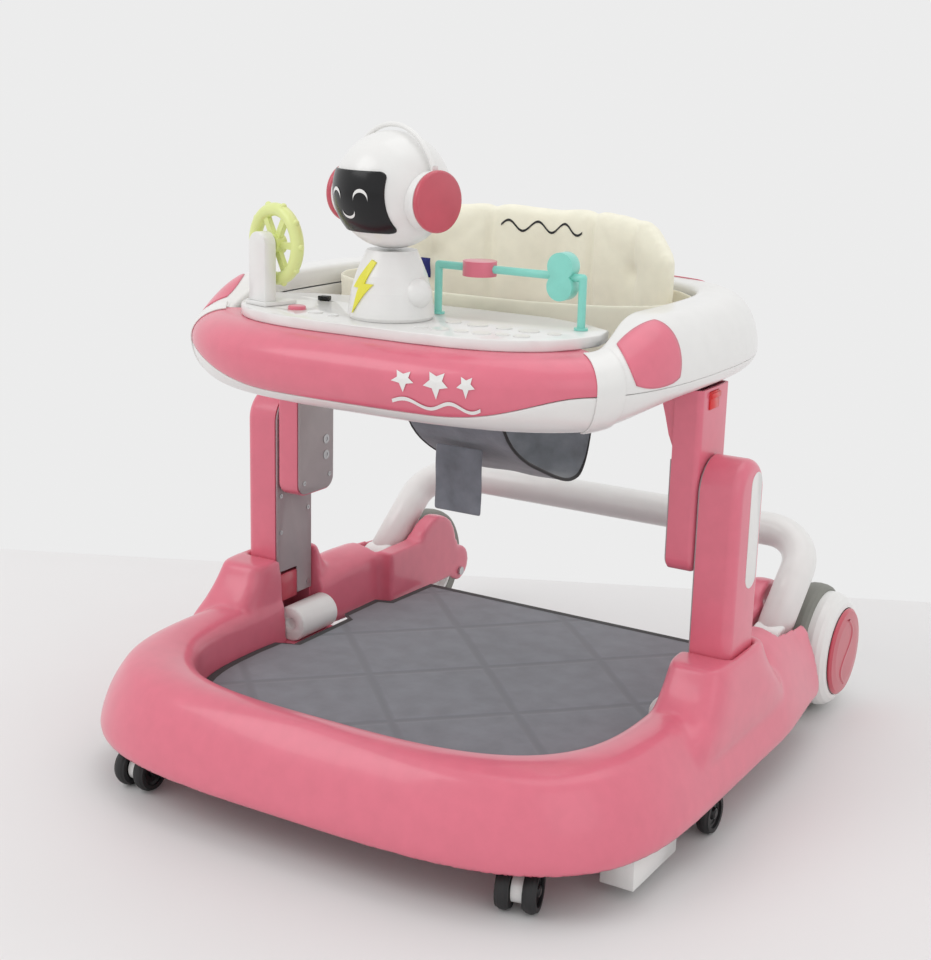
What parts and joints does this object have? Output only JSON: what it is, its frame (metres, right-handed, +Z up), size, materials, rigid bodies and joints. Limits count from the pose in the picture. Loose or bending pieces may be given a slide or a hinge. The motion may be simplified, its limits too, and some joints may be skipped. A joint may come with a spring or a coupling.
{
  "type": "baby walker",
  "caption": "Baby walker with a U-shaped rolling base, telescoping posts, a padded seat in a ring tray with play toys, and a push handle that swings up.",
  "frame": {"origin": "middle of the footprint, on the floor", "axes": "+Z up, -Y the front of the base, +Y the push handle, +X to the right as seen from the front"},
  "size_m": [0.6, 0.68, 0.6192],
  "materials": {
    "pink": "glossy",
    "deep_pink": "glossy",
    "white": "glossy",
    "grey": "satin",
    "mat": "suede",
    "seat_cloth": "soft padded cloth",
    "steel": "plain",
    "black": "glossy",
    "yellow": "glossy",
    "mint": "glossy",
    "lemon": "glossy",
    "red": "glossy",
    "caster_tyre": "matt",
    "wheel_tyre": "matt"
  },
  "bodies": {
    "base": {"base_shell": "pink", "foot_mat": "mat", "stopper_blocks": "white", "rear_axles": "steel", "lower_post_left": "pink", "lower_post_right": "pink", "lower_covers": "grey", "post_inlays": "white", "lower_screws": "steel", "hinge_barrels": "white"},
    "handle": {"push_handle": "white"},
    "tray": {"upper_post_left": "pink", "upper_post_right": "pink", "upper_covers": "grey", "upper_screws": "steel", "tray_shell": "white", "bumper_cover": "pink", "ring_cover": "white", "ring_panels": "pink", "clip_bands": "white", "toy_board": "white", "backrest": "seat_cloth", "seat_skirt": "seat_cloth", "seat_sling": "mat", "hanging_strap": "mat", "robot_body": "white", "robot_head": "white", "robot_visor": "black", "robot_headband": "white", "robot_ear_cups": "pink", "robot_bolt": "yellow", "ferris_tower": "white", "toy_bar": "mint"},
    "ferris": {"ferris_wheel": "lemon"},
    "bead_a": {"bead_disc": "pink"},
    "bead_b": {"bead_eight": "mint"},
    "key": {"board_button": "pink"},
    "switch": {"board_switch": "black"},
    "caster_front_left": {"caster_housing_front_left": "white"},
    "caster_wheels_front_left": {"caster_tyres_front_left": "caster_tyre", "caster_hubs_front_left": "black"},
    "caster_front_right": {"caster_housing_front_right": "white"},
    "caster_wheels_front_right": {"caster_tyres_front_right": "caster_tyre", "caster_hubs_front_right": "black"},
    "caster_mid_left": {"caster_housing_mid_left": "white"},
    "caster_wheels_mid_left": {"caster_tyres_mid_left": "caster_tyre", "caster_hubs_mid_left": "black"},
    "caster_mid_right": {"caster_housing_mid_right": "white"},
    "caster_wheels_mid_right": {"caster_tyres_mid_right": "caster_tyre", "caster_hubs_mid_right": "black"},
    "rear_wheel_left": {"rear_tyre_left": "wheel_tyre", "rear_rim_left": "white", "rear_cap_left": "deep_pink"},
    "release_left": {"red_button_left": "red"},
    "catch_left": {"catch_left": "deep_pink"},
    "rear_wheel_right": {"rear_tyre_right": "wheel_tyre", "rear_rim_right": "white", "rear_cap_right": "deep_pink"},
    "release_right": {"red_button_right": "red"},
    "catch_right": {"catch_right": "deep_pink"}
  },
  "joints": [
    {"name": "swivel_front_left", "type": "hinge", "parent": "base", "child": "caster_front_left", "pos_m": [-0.203, -0.278, 0.056], "axis": [0, 0, 1], "continuous": true},
    {"name": "roll_front_left", "type": "hinge", "parent": "caster_front_left", "child": "caster_wheels_front_left", "pos_m": [-0.203, -0.29, 0.0195], "axis": [1, 0, 0], "continuous": true},
    {"name": "swivel_front_right", "type": "hinge", "parent": "base", "child": "caster_front_right", "pos_m": [0.203, -0.278, 0.056], "axis": [0, 0, 1], "continuous": true},
    {"name": "roll_front_right", "type": "hinge", "parent": "caster_front_right", "child": "caster_wheels_front_right", "pos_m": [0.20611, -0.28959, 0.0195], "axis": [0.9659, 0.2588, 0], "continuous": true},
    {"name": "swivel_mid_left", "type": "hinge", "parent": "base", "child": "caster_mid_left", "pos_m": [-0.27, -0.062, 0.056], "axis": [0, 0, 1], "continuous": true},
    {"name": "roll_mid_left", "type": "hinge", "parent": "caster_mid_left", "child": "caster_wheels_mid_left", "pos_m": [-0.27, -0.074, 0.0195], "axis": [1, 0, 0], "continuous": true},
    {"name": "swivel_mid_right", "type": "hinge", "parent": "base", "child": "caster_mid_right", "pos_m": [0.27, -0.062, 0.056], "axis": [0, 0, 1], "continuous": true},
    {"name": "roll_mid_right", "type": "hinge", "parent": "caster_mid_right", "child": "caster_wheels_mid_right", "pos_m": [0.27, -0.074, 0.0195], "axis": [1, 0, 0], "continuous": true},
    {"name": "rear_roll_left", "type": "hinge", "parent": "base", "child": "rear_wheel_left", "pos_m": [-0.25, 0.272, 0.068], "axis": [1, 0, 0], "continuous": true},
    {"name": "release_press_left", "type": "slide", "parent": "tray", "child": "release_left", "axis": [1, 0, 0], "range_m": [0, 0.0025], "stiffness_N_per_m": 800},
    {"name": "catch_press_left", "type": "slide", "parent": "base", "child": "catch_left", "axis": [-1, 0, 0], "range_m": [0, 0.002], "stiffness_N_per_m": 800},
    {"name": "rear_roll_right", "type": "hinge", "parent": "base", "child": "rear_wheel_right", "pos_m": [0.25, 0.272, 0.068], "axis": [1, 0, 0], "continuous": true},
    {"name": "release_press_right", "type": "slide", "parent": "tray", "child": "release_right", "axis": [-1, 0, 0], "range_m": [0, 0.0025], "stiffness_N_per_m": 800},
    {"name": "catch_press_right", "type": "slide", "parent": "base", "child": "catch_right", "axis": [1, 0, 0], "range_m": [0, 0.002], "stiffness_N_per_m": 800},
    {"name": "handle_raise", "type": "hinge", "parent": "base", "child": "handle", "pos_m": [0, 0.162, 0.102], "axis": [1, 0, 0], "range_deg": [0, 75]},
    {"name": "tray_height", "type": "slide", "parent": "base", "child": "tray", "axis": [0, 0, 1], "range_m": [-0.042, 0.036]},
    {"name": "ferris_spin", "type": "hinge", "parent": "tray", "child": "ferris", "pos_m": [-0.132, -0.172, 0.506], "axis": [0.2588, 0.9659, 0], "continuous": true},
    {"name": "bead_a_spin", "type": "hinge", "parent": "tray", "child": "bead_a", "pos_m": [0.056, -0.127, 0.496], "axis": [1, 0, 0], "continuous": true},
    {"name": "bead_b_spin", "type": "hinge", "parent": "tray", "child": "bead_b", "pos_m": [0.138, -0.127, 0.496], "axis": [1, 0, 0], "continuous": true},
    {"name": "key_press", "type": "slide", "parent": "tray", "child": "key", "axis": [0, 0, -1], "range_m": [0, 0.002], "stiffness_N_per_m": 600},
    {"name": "switch_slide", "type": "slide", "parent": "tray", "child": "switch", "axis": [1, 0, 0], "range_m": [0, 0.005]}
  ]
}
